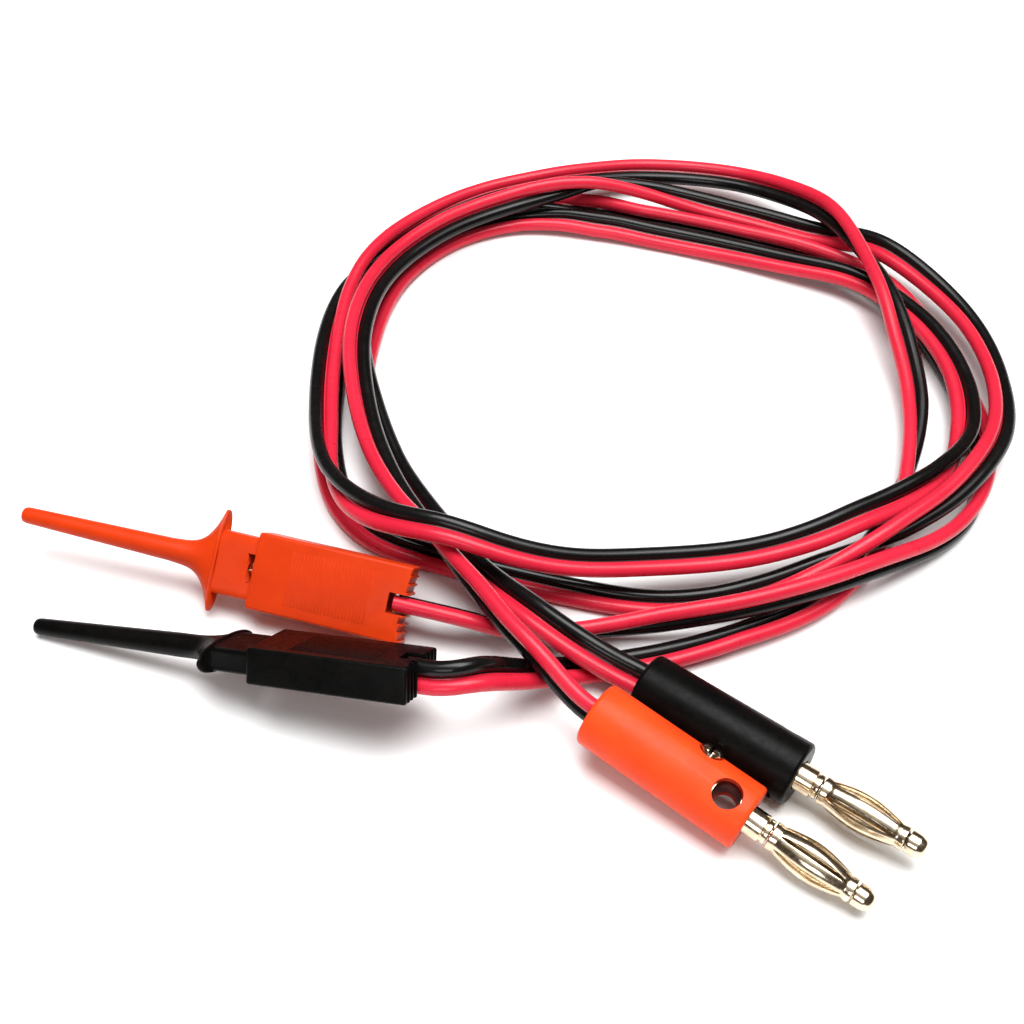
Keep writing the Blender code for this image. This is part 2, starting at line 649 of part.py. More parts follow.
def with_ends(route, colour):
    """The route with its ends drawn straight into the plug and into the clip."""
    plug, clip = PLUGS[colour], CLIPS[colour]
    heading = math.radians(plug["heading"])
    x, y, _ = plug["at"]
    roll, level = route[0][2:]
    start = []
    for along in (INTO_PLUG, -3.0):
        start.append((x + along * math.cos(heading), y + along * math.sin(heading), roll, level))
    heading, fall = math.radians(clip["heading"]), math.radians(clip["fall"])
    x, y, _ = clip["at"]
    roll, level = route[-1][2:]
    end = []
    for along in (CLIP_LENGTH + 3.0, CLIP_LENGTH - INTO_CLIP):
        flat = along * math.cos(fall)
        end.append((x + flat * math.cos(heading), y + flat * math.sin(heading), roll, level))
    return start + route + end


def hold_ends(lead, colour):
    """How firmly, and how high, the plug and the clip hold the cord near its two ends."""
    clip = CLIPS[colour]
    fall = math.radians(clip["fall"])
    from_end = lead["at"][-1] - lead["at"]
    along = CLIP_LENGTH - INTO_CLIP + from_end
    clip_height = clip["at"][2] - along * math.sin(fall)
    plug = PLUGS[colour]
    rise = math.sin(math.radians(plug["fall"]))
    plug_height = plug["at"][2] + (lead["at"] - INTO_PLUG) * rise
    lead["held"] = np.where(lead["at"] < from_end, plug_height, clip_height)
    plug_hold = 1 - eased((lead["at"] - INTO_PLUG) / 8.0)
    clip_hold = 1 - eased((from_end - INTO_CLIP) / 12.0)
    lead["hold"] = np.maximum(plug_hold, clip_hold)


def spaced_points(places, count):
    """Samples to keep: more of them where the cord bends."""
    ahead = np.diff(places, axis=0)
    length = np.linalg.norm(ahead, axis=1)
    ahead /= length[:, None]
    turn = np.linalg.norm(np.diff(ahead, axis=0), axis=1)
    turn = np.convolve(np.pad(turn, (1, 0), mode="edge"), np.ones(5) / 5, mode="same")
    weight = np.concatenate([[0.0], np.cumsum(length + 14.0 * turn)])
    wanted = np.linspace(0.0, weight[-1], count)
    return np.unique(np.abs(weight[None, :] - wanted[:, None]).argmin(axis=1))


def make_cords():
    leads = [lay_out(with_ends(RED_ROUTE, "red")), lay_out(with_ends(BLACK_ROUTE, "black"))]
    for lead, colour in zip(leads, ("red", "black")):
        hold_ends(lead, colour)
    places, offset, count = settle(leads)
    for colour, start, end in (("red", 0, count), ("black", count, len(places))):
        middle, across = places[start:end], offset[start:end]
        pick = spaced_points(middle, WIRE_POINTS)
        for strand, sign, mat in (("red", 1, red_insulation()), ("black", -1, black_insulation())):
            line = middle + sign * across - np.array(ORIGIN)
            tube(f"{colour}_lead_{strand}_wire", line[pick], WIRE_DIAMETER / 2, None, mat)


def main():
    clear_scene()
    make_plug("red", orange_plastic())
    make_plug("black", black_plastic())
    make_clip("red", orange_plastic())
    make_clip("black", black_plastic())
    make_cords()


main()
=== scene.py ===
"""Looks for a pair of bench test leads: banana plugs, twin cords and flat mini hook clips.

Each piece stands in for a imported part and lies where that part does. Lengths are in
millimetres up to the point where a mesh or a curve is made.
"""

import math

import bmesh
import bpy
import numpy as np
from mathutils import Euler, Matrix, Vector


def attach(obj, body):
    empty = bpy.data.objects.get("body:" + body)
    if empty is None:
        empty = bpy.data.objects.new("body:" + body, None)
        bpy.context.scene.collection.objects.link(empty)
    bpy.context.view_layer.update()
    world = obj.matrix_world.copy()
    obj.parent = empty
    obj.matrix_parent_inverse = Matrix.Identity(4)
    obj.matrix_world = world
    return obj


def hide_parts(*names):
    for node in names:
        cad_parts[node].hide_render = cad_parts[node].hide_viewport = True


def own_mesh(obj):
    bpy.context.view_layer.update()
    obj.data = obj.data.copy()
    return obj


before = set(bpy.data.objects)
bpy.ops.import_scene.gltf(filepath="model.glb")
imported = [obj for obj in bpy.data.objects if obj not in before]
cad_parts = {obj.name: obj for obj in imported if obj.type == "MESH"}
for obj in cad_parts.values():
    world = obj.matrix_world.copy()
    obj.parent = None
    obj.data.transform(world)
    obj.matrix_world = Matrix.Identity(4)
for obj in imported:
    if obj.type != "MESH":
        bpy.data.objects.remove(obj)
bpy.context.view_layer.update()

MM = 0.001
ORIGIN = (1.83, -0.96, 0.0)  # middle of the plugs and clips on the bench, in layout mm

SLEEVE_LENGTH = 24.6
SLEEVE_RADIUS = 4.65
CORE_RADIUS = 3.0
PIN_RADIUS = 2.0
PLUG_LENGTH = 43.0
CAGE_START = 28.0
CAGE_END = 40.2
CAGE_RING = 1.15  # length of the whole rings at the lantern's two ends
CAGE_WALL = 0.32
CAGE_BOW = 0.8
CAGE_LEAVES = 6
SLIT_HALF_WIDTH = 0.17
SCREW_AT = 16.0
SCREW_TURN = 30.0  # degrees round the plug from its X
SCREW_TOP = 5.35  # from the plug's axis
SCREW_HEAD_RADIUS = 1.6
STACK_HOLE_AT = 20.8
STACK_HOLE_RADIUS = 2.05

CLIP_LENGTH = 61.0
FLARE_START = 24.2
FLARE_LENGTH = 7.0
SHOULDER = 36.3
NECK = (1.8, 4.7)  # half thickness and half width
NECK_END = 49.0
RING_POINTS = 64  # round each section of the nose
FORK_HALF_WIDTH = 2.2
BODY_START = 37.6
BODY = (2.6, 5.7)  # half thickness and half width, as for the neck
CAVITY = (2.0, 5.1)
RIB_FACES = (2.5, 2.66)  # from inside the body's face to just proud of it
CORD_SLOT_HALF_WIDTH = 1.5
TEETH = ((-4.7, 0.3), (-3.5, 0.5), (-2.3, 0.7), (2.3, 0.35), (3.6, 0.3), (4.8, 0.2))  # place, depth
RIBS = 24
FIRST_RIB = 43.2
RIB_PITCH = 0.52
RIB_HALF_LENGTH = 3.9
HOOK_RADIUS = 0.26
HOOK_BEND = 0.3
SPRING_TOP = 48.6
SPRING_TURNS = 9
SPRING_RADIUS = 1.4
SPRING_WIRE = 0.2

WIRE_DIAMETER = 2.3
WIRE_PITCH = 2.6
WIRE_CLEARANCE = 1.2  # kept between conductors while the cords settle
INTO_PLUG = 4.0
INTO_CLIP = 2.0
LEVEL_RISE = 6.0  # height that one level adds at the start of settling
SAMPLE_STEP = 1.25
APART = 9  # samples along one twin that are too close neighbours to push each other
LOOK_EVERY = 20  # turns of settling between two searches for close pairs
LOOK_MARGIN = 2.5
LEVEL_STEP = 0.8  # least difference in level at which one run is lifted over the other
OVERLAP = 0.7  # share of the clearance below which two runs count as crossing
LARGEST_MOVE = 0.5
SMOOTHING_PASSES = 12
WEB_HALF_THICKNESS = 0.3
CORD_LENGTHS = {"red": (0.708, 0.695), "black": (0.680, 0.681)}  # red, black conductor, in m

SHARP = 32.0  # degrees; flatter edges are shaded smooth

CAMERA_AT = (0.01017, -0.10574, 0.1701)
CAMERA_AIM = (0.01017, 0.03696, 0.0)
LENS = 49.2
FLOOR_SIZE = 8.0

# Where the plugs and clips lie: rear end or nose tip, heading, fall towards the far end, roll
PLUGS = {
    "red": {"at": (23.2, -5.7, 7.5), "heading": -36.5, "fall": 6.2, "roll": 13.0},
    "black": {"at": (30.5, 0.8, SLEEVE_RADIUS), "heading": -36.3, "fall": 0.0, "roll": -75.0},
}
CLIPS = {
    "red": {"at": (-61.8, 29.0, 7.85), "heading": -14.9, "fall": 1.8, "roll": 40.0},
    "black": {"at": (-58.1, 13.0, 1.3), "heading": -15.2, "fall": -10.0, "roll": -39.0},
}

# Each lead's route, from its plug to its clip, in mm: x, y, roll of the twin in degrees
# (0 has red on the left of the way it runs, 90 has red on top), and level. Where two runs
# cross, the one with the higher level passes over.
RED_ROUTE = [
    (18.5, -1.5, 90, 3), (13.0, 4.5, 90, 3), (7.0, 14.0, 90, 3), (1.0, 23.5, 70, 3),
    (-4.0, 31.0, 45, 3), (-9.0, 41.5, 30, 3), (-13.0, 56.0, 25, 3), (-14.5, 72.5, 25, 3),
    (-12.0, 86.0, 40, 3), (-1.5, 99.5, 45, 3), (13.5, 107.5, 45, 3.3), (21.0, 109.5, 90, 3.3),
    (29.0, 111.0, 150, 3.3), (48.0, 109.0, 210, 3), (62.5, 104.5, 215, 3), (74.5, 97.0, 210, 3),
    (84.0, 88.0, 190, 3), (91.5, 75.0, 165, 2), (93.0, 60.0, 150, 2), (90.0, 47.0, 155, 2),
    (82.0, 35.5, 130, 1), (71.0, 27.5, 100, 0), (59.0, 21.0, 30, 0), (47.5, 17.5, 0, 0),
    (34.0, 16.5, 0, 0), (22.0, 19.0, 0, 1), (10.0, 22.5, 0, 1), (-0.5, 26.0, 0, 1),
    (-9.0, 29.5, 0, 1), (-15.0, 36.5, 0, 1), (-18.0, 47.0, 0, 1), (-19.0, 62.0, 0, 1),
    (-18.5, 79.5, 0, 1), (-14.0, 93.5, 0, 1), (-2.5, 107.0, 0, 1), (6.0, 112.0, 5, 1),
    (13.5, 113.0, 5, 1.2), (21.0, 111.0, 20, 1.9), (28.5, 108.0, 60, 2.1), (36.0, 106.0, 90, 3),
    (54.5, 101.0, 90, 3.5), (68.5, 96.0, 60, 3), (78.5, 89.5, 30, 1), (85.0, 75.5, 20, 1),
    (88.5, 59.5, 0, 1), (89.0, 52.0, 20, 1), (88.0, 44.0, 60, 1), (83.0, 33.5, 90, 1.5),
    (78.0, 29.0, 90, 2), (71.0, 25.0, 90, 2), (58.5, 18.5, 90, 2), (45.0, 13.5, 90, 2),
    (33.5, 12.0, 90, 1.5), (22.0, 11.0, 60, 1), (10.5, 11.0, 45, 1), (4.5, 11.5, 50, 1),
]
BLACK_ROUTE = [
    (24.5, 4.0, -40, 2), (19.0, 7.5, -30, 2), (16.0, 10.0, -25, 2), (13.0, 13.0, -20, 2),
    (10.0, 16.5, -15, 2), (4.5, 23.5, -5, 2), (-2.0, 34.0, 0, 2), (-7.5, 44.5, 0, 2),
    (-11.5, 57.5, -50, 2), (-13.0, 75.0, -130, 2), (-10.0, 89.5, -180, 2), (-1.5, 101.0, -180, 1.4),
    (13.5, 107.5, -180, 0.8), (28.5, 107.0, -150, 0.8), (43.5, 102.0, -150, 1),
    (61.5, 94.0, -170, 1.5), (74.5, 87.5, -180, 2), (82.5, 76.5, -180, 2), (87.0, 62.0, -180, 2),
    (86.0, 50.0, -150, 3), (80.0, 39.0, -70, 3), (68.5, 29.0, -20, 3.5), (52.5, 23.5, 0, 4),
    (31.0, 20.5, 0, 4), (19.0, 19.0, 0, 4), (4.5, 21.0, 0, 4), (-5.0, 24.5, -15, 4),
    (-12.0, 30.0, -55, 4), (-16.5, 38.0, -105, 4), (-18.5, 50.0, -160, 4), (-19.0, 68.0, -180, 4),
    (-16.5, 84.0, -230, 4), (-9.5, 96.0, -300, 4), (6.0, 110.0, -340, 4), (21.5, 115.0, -345, 4),
    (37.0, 119.0, -330, 4), (56.0, 115.5, -330, 5), (69.5, 103.0, -290, 5), (76.0, 85.0, -225, 5),
    (78.5, 70.0, -190, 4), (79.0, 57.0, -200, 0), (75.5, 43.0, -260, -1), (69.5, 30.5, -320, -1),
    (59.5, 18.5, -350, -1), (45.0, 11.0, -335, -1), (33.5, 7.2, -345, 0), (22.0, 4.8, -350, 0),
    (16.0, 2.5, -360, 0), (10.5, -1.0, -385, 0), (6.0, -3.5, -411, 0),
]
SKIN_SLOTS = {"red": "orange_plastic", "black": "black_plastic"}


# Where the cords lie -----------------------------------------------------------------------


def spline_through(values, knots, at):
    """Values of a smooth (Catmull-Rom) curve through the rows of values, at the given parameters."""
    slopes = np.gradient(values, knots, axis=0, edge_order=1)
    index = np.clip(np.searchsorted(knots, at, side="right") - 1, 0, len(knots) - 2)
    width = knots[index + 1] - knots[index]
    t = ((at - knots[index]) / width)[:, None]
    width = width[:, None]
    a, b = values[index], values[index + 1]
    m, n = slopes[index] * width, slopes[index + 1] * width
    t2, t3 = t * t, t * t * t
    return (2 * t3 - 3 * t2 + 1) * a + (t3 - 2 * t2 + t) * m + (3 * t2 - 2 * t3) * b + (t3 - t2) * n


def lay_out(route):
    """Even samples along a route in plan: places, left-hand directions, roll and level."""
    rows = np.array(route, float)
    knots = np.concatenate([[0.0], np.cumsum(np.linalg.norm(np.diff(rows[:, :2], axis=0), axis=1))])
    at = np.linspace(0.0, knots[-1], int(knots[-1] / SAMPLE_STEP) + 1)
    places = spline_through(rows[:, :2], knots, at)
    ahead = np.gradient(places, axis=0)
    ahead /= np.linalg.norm(ahead, axis=1)[:, None]
    left = np.stack([-ahead[:, 1], ahead[:, 0]], axis=1)
    roll = np.radians(np.interp(at, knots, rows[:, 2]))
    level = np.interp(at, knots, rows[:, 3])
    return {"at": at, "places": places, "left": left, "roll": roll, "level": level}


def eased(t):
    """From 0 to 1 with a level start and end."""
    t = np.clip(t, 0.0, 1.0)
    return t * t * (3 - 2 * t)


def twin_offsets(places, left, roll, count):
    """From the middle of the twin to its red conductor, square to the way the cord runs."""
    ahead = np.empty_like(places)
    for start, end in ((0, count), (count, len(places))):
        ahead[start:end] = np.gradient(places[start:end], axis=0)
    ahead /= np.linalg.norm(ahead, axis=1)[:, None]
    level_left = np.column_stack([left, np.zeros(len(left))])
    up = np.cross(ahead, level_left)
    up /= np.linalg.norm(up, axis=1)[:, None]
    across = np.cos(roll)[:, None] * level_left + np.sin(roll)[:, None] * up
    return across * WIRE_PITCH / 2


def settle(leads):
    """Lets both twins sink onto the bench and onto each other, from heights set by their levels."""
    radius, clear = WIRE_DIAMETER / 2, WIRE_DIAMETER + WIRE_CLEARANCE
    count = len(leads[0]["at"])
    plan = np.concatenate([lead["places"] for lead in leads])
    left = np.concatenate([lead["left"] for lead in leads])
    roll = np.concatenate([lead["roll"] for lead in leads])
    level = np.concatenate([lead["level"] for lead in leads])
    held = np.concatenate([lead["held"] for lead in leads])
    hold = np.concatenate([lead["hold"] for lead in leads])
    lead_gap = 10000  # keeps samples on different leads from counting as neighbours
    number = np.arange(len(plan)) + lead_gap * (np.arange(len(plan)) >= count)
    number = np.concatenate([number, number])
    height = held * hold + (radius + WIRE_PITCH / 2 + LEVEL_RISE * level) * (1 - hold)
    places = np.column_stack([plan, height])
    index = np.arange(len(plan))
    first_of = np.where(index < count, 0, count)
    last_of = np.where(index < count, count - 1, len(plan) - 1)
    stages = [(560, 0.08, 0.5), (200, 0.02, 0.3), (120, 0.0, 0.1)]  # turns, sink, stiffness
    steps = [(sink, stiff) for turns, sink, stiff in stages for _ in range(turns)]
    for turn, (sink, stiff) in enumerate(steps):
        if turn % LOOK_EVERY == 0:
            offset = twin_offsets(places, left, roll, count)
            both = np.concatenate([places + offset, places - offset])
            spread = np.linalg.norm(both[:, None, :2] - both[None, :, :2], axis=2)
            near = (spread < clear + LOOK_MARGIN) & (np.abs(number[:, None] - number[None, :]) > APART)
            first, second = np.nonzero(np.triu(near))
            rank = level[first % len(plan)] - level[second % len(plan)]
        places[:, 2] -= sink
        shift = places - np.column_stack([plan, np.zeros(len(plan))])
        for reach in (1, 3, 6):
            room = np.minimum(reach, np.minimum(index - first_of, last_of - index))
            places += stiff * ((shift[index - room] + shift[index + room]) / 2 - shift) / reach
        places[:, :2] += 0.02 * (plan - places[:, :2])
        both = np.concatenate([places + offset, places - offset])
        gap = both[first] - both[second]
        aside = np.linalg.norm(gap[:, :2], axis=1)
        far = np.linalg.norm(gap, axis=1)
        push = gap * ((clear - far) / far)[:, None] / 2
        stacked = (np.abs(rank) > LEVEL_STEP) & (aside < OVERLAP * clear)
        lack = np.sqrt(np.maximum(clear**2 - aside**2, 0.0)) - np.sign(rank) * gap[:, 2]
        push[stacked] = 0.0
        push[stacked, 2] = (np.sign(rank) * lack)[stacked] / 2
        touching = np.where(stacked, lack > 0, far < clear)
        push = push[touching]
        one, other = first[touching] % len(plan), second[touching] % len(plan)
        moves = np.zeros_like(places)
        tally = np.ones(len(plan))
        np.add.at(moves, one, push)
        np.add.at(moves, other, -push)
        np.add.at(tally, one, 1)
        np.add.at(tally, other, 1)
        moves /= np.sqrt(tally)[:, None]
        places += np.clip(moves, -LARGEST_MOVE, LARGEST_MOVE)
        floor = radius + np.abs(offset[:, 2])
        places[:, 2] = np.maximum(places[:, 2], floor)
        places[:, 2] += (held - places[:, 2]) * hold
        places[:, :2] += (plan - places[:, :2]) * hold[:, None]
    for _ in range(SMOOTHING_PASSES):
        room = np.minimum(1, np.minimum(index - first_of, last_of - index))
        middle = (places[index - room] + places[index + room]) / 2
        places += 0.5 * (middle - places) * (1 - hold)[:, None]
    offset = twin_offsets(places, left, roll, count)
    places[:, 2] = np.maximum(places[:, 2], radius + np.abs(offset[:, 2]))
    return places, offset, count


def with_ends(route, colour):
    """The route with its ends drawn straight into the plug and into the clip."""
    plug, clip = PLUGS[colour], CLIPS[colour]
    heading = math.radians(plug["heading"])
    x, y, _ = plug["at"]
    roll, level = route[0][2:]
    start = []
    for along in (INTO_PLUG, -3.0):
        start.append((x + along * math.cos(heading), y + along * math.sin(heading), roll, level))
    heading, fall = math.radians(clip["heading"]), math.radians(clip["fall"])
    x, y, _ = clip["at"]
    roll, level = route[-1][2:]
    end = []
    for along in (CLIP_LENGTH + 3.0, CLIP_LENGTH - INTO_CLIP):
        flat = along * math.cos(fall)
        end.append((x + flat * math.cos(heading), y + flat * math.sin(heading), roll, level))
    return start + route + end


def hold_ends(lead, colour):
    """How firmly, and how high, the plug and the clip hold the cord near its two ends."""
    clip = CLIPS[colour]
    fall = math.radians(clip["fall"])
    from_end = lead["at"][-1] - lead["at"]
    along = CLIP_LENGTH - INTO_CLIP + from_end
    clip_height = clip["at"][2] - along * math.sin(fall)
    plug = PLUGS[colour]
    rise = math.sin(math.radians(plug["fall"]))
    plug_height = plug["at"][2] + (lead["at"] - INTO_PLUG) * rise
    lead["held"] = np.where(lead["at"] < from_end, plug_height, clip_height)
    plug_hold = 1 - eased((lead["at"] - INTO_PLUG) / 8.0)
    clip_hold = 1 - eased((from_end - INTO_CLIP) / 12.0)
    lead["hold"] = np.maximum(plug_hold, clip_hold)


# Camera, floor and light -----------------------------------------------------------------


def add_camera():
    """The camera, looking down on the leads from the front."""
    data = bpy.data.cameras.new("camera")
    data.lens = LENS
    data.sensor_width = 36.0
    data.clip_start = 0.01
    data.clip_end = 12.0
    camera = bpy.data.objects.new("camera", data)
    bpy.context.scene.collection.objects.link(camera)
    place, aim = Vector(CAMERA_AT), Vector(CAMERA_AIM)
    camera.location = place
    camera.rotation_euler = (aim - place).to_track_quat("-Z", "Y").to_euler()
    bpy.context.scene.camera = camera


def add_light(name, place, aim, size, power):
    """A rectangular area light of size metres and power watts."""
    data = bpy.data.lights.new(name, "AREA")
    data.shape = "RECTANGLE"
    data.size, data.size_y = size
    data.energy = power
    light = bpy.data.objects.new(name, data)
    bpy.context.scene.collection.objects.link(light)
    place, aim = Vector(place), Vector(aim)
    light.location = place
    light.rotation_euler = (aim - place).to_track_quat("-Z", "Y").to_euler()


def add_sun(source, strength):
    """A broad even light on everything, so that the floor stays pale right to the edge."""
    data = bpy.data.lights.new("sky", "SUN")
    data.angle = math.radians(50)
    data.energy = strength
    light = bpy.data.objects.new("sky", data)
    bpy.context.scene.collection.objects.link(light)
    light.rotation_euler = Vector(source).to_track_quat("Z", "Y").to_euler()


def add_floor():
    """A plain pale floor, a hair below the leads."""
    bm = bmesh.new()
    bmesh.ops.create_grid(bm, x_segments=1, y_segments=1, size=FLOOR_SIZE)
    mesh = bpy.data.meshes.new("floor")
    bm.to_mesh(mesh)
    bm.free()
    floor = bpy.data.objects.new("floor", mesh)
    floor.location.z = -0.00005
    bpy.context.scene.collection.objects.link(floor)
    paper = Surface("paper", base_color=(0.9, 0.9, 0.9, 1), roughness=0.75)
    mesh.materials.append(paper.mat)


def add_world():
    """Soft white light from overhead, and a dim brown room lower down for the metal to mirror."""
    world = bpy.data.worlds.new("studio")
    world.use_nodes = True
    nodes, links = world.node_tree.nodes, world.node_tree.links
    way = nodes.new("ShaderNodeTexCoord")
    split = nodes.new("ShaderNodeSeparateXYZ")
    ramp = nodes.new("ShaderNodeValToRGB")
    links.new(way.outputs["Generated"], split.inputs[0])
    links.new(split.outputs["Z"], ramp.inputs[0])
    ramp.color_ramp.elements[0].position = 0.0
    ramp.color_ramp.elements[0].color = (0.30, 0.27, 0.25, 1)
    ramp.color_ramp.elements[1].position = 0.92
    ramp.color_ramp.elements[1].color = (1.0, 1.0, 1.0, 1)
    for at, colour in ((0.3, (0.09, 0.07, 0.055, 1)), (0.72, (0.13, 0.11, 0.095, 1))):
        ramp.color_ramp.elements.new(at).color = colour
    links.new(ramp.outputs[0], nodes["Background"].inputs["Color"])
    nodes["Background"].inputs["Strength"].default_value = 0.7
    bpy.context.scene.world = world


# Materials -------------------------------------------------------------------------------


class Surface:
    """A procedural material on the Principled shader.

    Its pattern follows a piece's own frame where own is true, and the shared frame elsewhere.
    """

    def __init__(self, name, own=False, **values):
        self.mat = bpy.data.materials.new(name)
        self.mat.use_nodes = True
        self.nodes = self.mat.node_tree.nodes
        self.links = self.mat.node_tree.links
        self.shader = self.nodes["Principled BSDF"]
        for key, value in values.items():
            label = key.replace("_", " ").title().replace("Ior", "IOR")
            self.shader.inputs[label].default_value = value
        if own:
            node = self.nodes.new("ShaderNodeAttribute")
            node.attribute_name = "own_place"
            self.place = node.outputs["Vector"]
        else:
            self.place = self.nodes.new("ShaderNodeTexCoord").outputs["Object"]

    def noise(self, size, detail=3.0):
        """Noise whose features are about size mm across."""
        node = self.nodes.new("ShaderNodeTexNoise")
        node.inputs["Scale"].default_value = 1.0 / (size * MM)
        node.inputs["Detail"].default_value = detail
        self.links.new(self.place, node.inputs["Vector"])
        return node.outputs[0]

    def rings(self, period):
        """Turning marks: bands across Z, period mm apart."""
        node = self.nodes.new("ShaderNodeTexWave")
        node.bands_direction = "Z"
        node.inputs["Scale"].default_value = 2 * math.pi / (20 * period * MM)
        node.inputs["Distortion"].default_value = 1.0
        node.inputs["Detail"].default_value = 2.0
        self.links.new(self.place, node.inputs["Vector"])
        return node.outputs["Fac"]

    def between(self, fac, low, high):
        """Noise stretched to run from low to high."""
        node = self.nodes.new("ShaderNodeMapRange")
        for key, value in (("From Min", 0.3), ("From Max", 0.7), ("To Min", low), ("To Max", high)):
            node.inputs[key].default_value = value
        self.links.new(fac, node.inputs["Value"])
        return node.outputs[0]

    def mixed(self, fac, low, high):
        """The colour low where fac is 0, and high where it is 1."""
        node = self.nodes.new("ShaderNodeMix")
        node.data_type = "RGBA"
        self.links.new(fac, node.inputs["Factor"])
        node.inputs[6].default_value = (*low, 1)  # colour A
        node.inputs[7].default_value = (*high, 1)  # colour B
        return node.outputs[2]

    def summed(self, one, share, other):
        """One times share, plus other."""
        node = self.nodes.new("ShaderNodeMath")
        node.operation = "MULTIPLY_ADD"
        self.links.new(one, node.inputs[0])
        node.inputs[1].default_value = share
        self.links.new(other, node.inputs[2])
        return node.outputs[0]

    def bump(self, height, depth, strength=1.0):
        """Bump depth mm deep."""
        node = self.nodes.new("ShaderNodeBump")
        node.inputs["Strength"].default_value = strength
        node.inputs["Distance"].default_value = depth * MM
        self.links.new(height, node.inputs["Height"])
        self.links.new(node.outputs[0], self.shader.inputs["Normal"])

    def put(self, label, output):
        """Feeds an input of the shader."""
        self.links.new(output, self.shader.inputs[label])


def moulded_orange(name, one, other):
    """Satin plastic between two shades of orange, faintly grained."""
    s = Surface(name, True, specular_ior_level=0.12, subsurface_weight=0.08, subsurface_scale=0.001)
    s.shader.inputs["Subsurface Radius"].default_value = (1.0, 0.35, 0.15)
    cloud = s.between(s.noise(5.0, 2.0), 0, 1)
    s.put("Base Color", s.mixed(cloud, one, other))
    s.put("Roughness", s.between(s.noise(0.9, 4.0), 0.33, 0.45))
    s.bump(s.summed(s.noise(1.2, 2.0), 0.6, s.noise(0.16, 3.0)), 0.012, 0.5)
    return s.mat


def moulded_black():
    """The same plastic in black."""
    s = Surface("moulded_black", True, specular_ior_level=0.06)
    cloud = s.between(s.noise(3.0, 3.0), 0, 1)
    s.put("Base Color", s.mixed(cloud, (0.0018, 0.0017, 0.0016), (0.0035, 0.0032, 0.003)))
    s.put("Roughness", s.between(s.noise(0.7, 4.0), 0.26, 0.42))
    s.bump(s.summed(s.noise(1.1, 2.0), 0.5, s.noise(0.14, 3.0)), 0.012, 0.5)
    return s.mat


def plated(name, bright, dull, roughness):
    """Turned and plated metal: fine marks round the axis, and a little tarnish."""
    s = Surface(name, True, metallic=1.0)
    tarnish = s.between(s.noise(1.6, 4.0), 0, 1)
    s.put("Base Color", s.mixed(tarnish, bright, dull))
    s.put("Roughness", s.between(s.noise(0.35, 3.0), roughness, roughness + 0.12))
    s.bump(s.summed(s.rings(0.11), 0.5, s.noise(0.4, 3.0)), 0.004, 0.35)
    return s.mat


def drawn_wire():
    """Brown spring steel."""
    s = Surface("drawn_wire", True, metallic=1.0)
    s.put("Base Color", s.mixed(s.between(s.noise(0.8), 0, 1), (0.42, 0.33, 0.25), (0.3, 0.2, 0.13)))
    s.put("Roughness", s.between(s.noise(0.3), 0.25, 0.45))
    s.bump(s.noise(0.1), 0.004, 0.4)
    return s.mat


def bare_copper():
    """Stripped copper strands."""
    s = Surface("bare_copper", metallic=1.0)
    s.put("Base Color", s.mixed(s.between(s.noise(0.5), 0, 1), (0.8, 0.4, 0.24), (0.6, 0.26, 0.14)))
    s.put("Roughness", s.between(s.noise(0.3), 0.3, 0.5))
    s.bump(s.noise(0.25), 0.03, 0.6)
    return s.mat


def tinned():
    """Solder on the crimp."""
    s = Surface("tinned", metallic=1.0)
    s.put("Base Color", s.mixed(s.between(s.noise(0.9), 0, 1), (0.66, 0.66, 0.65), (0.45, 0.45, 0.45)))
    s.put("Roughness", s.between(s.noise(0.5), 0.25, 0.5))
    s.bump(s.noise(0.5), 0.02, 0.6)
    return s.mat


def vinyl(name, one, other, roughness):
    """Soft cord insulation: glossy, with slow waves."""
    s = Surface(name, specular_ior_level=0.16, coat_weight=0.16, coat_roughness=0.08)
    s.put("Base Color", s.mixed(s.between(s.noise(14.0, 2.0), 0, 1), one, other))
    s.put("Roughness", s.between(s.noise(1.5, 4.0), roughness - 0.05, roughness + 0.09))
    s.bump(s.noise(4.0, 1.0), 0.03, 0.5)
    return s.mat


# Mesh tools ------------------------------------------------------------------------------


def rounded(corners, closed=False, steps=5):
    """An outline with rounded corners. Each corner is two coordinates and a radius, in mm."""
    outline = []
    count = len(corners)
    for i, (x, y, radius) in enumerate(corners):
        at = np.array((x, y), float)
        if radius == 0 or (not closed and i in (0, count - 1)):
            outline.append((x, y))
            continue
        back = np.array(corners[i - 1][:2], float) - at
        on = np.array(corners[(i + 1) % count][:2], float) - at
        back_length, on_length = np.linalg.norm(back), np.linalg.norm(on)
        back, on = back / back_length, on / on_length
        half = math.acos(np.clip(back @ on, -1, 1)) / 2
        reach = min(radius / math.tan(half), 0.49 * back_length, 0.49 * on_length)
        radius = reach * math.tan(half)
        middle = back + on
        centre = at + middle / np.linalg.norm(middle) * radius / math.sin(half)
        start, end = at + back * reach - centre, at + on * reach - centre
        for k in range(steps + 1):
            way = start * (1 - k / steps) + end * (k / steps)
            outline.append(tuple(centre + way * radius / np.linalg.norm(way)))
    return outline


def as_mesh(bm, name):
    """A mesh from bm, smooth but for its sharp edges."""
    bmesh.ops.remove_doubles(bm, verts=bm.verts, dist=0.000001)
    bmesh.ops.recalc_face_normals(bm, faces=bm.faces)
    mesh = bpy.data.meshes.new(name)
    bm.to_mesh(mesh)
    bm.free()
    mesh.shade_smooth()
    mesh.set_sharp_from_angle(angle=math.radians(SHARP))
    return mesh


def as_object(name, data, matrix):
    """An object in the scene, in the frame of matrix."""
    obj = bpy.data.objects.new(name, data)
    obj.matrix_world = matrix
    bpy.context.scene.collection.objects.link(obj)
    return obj


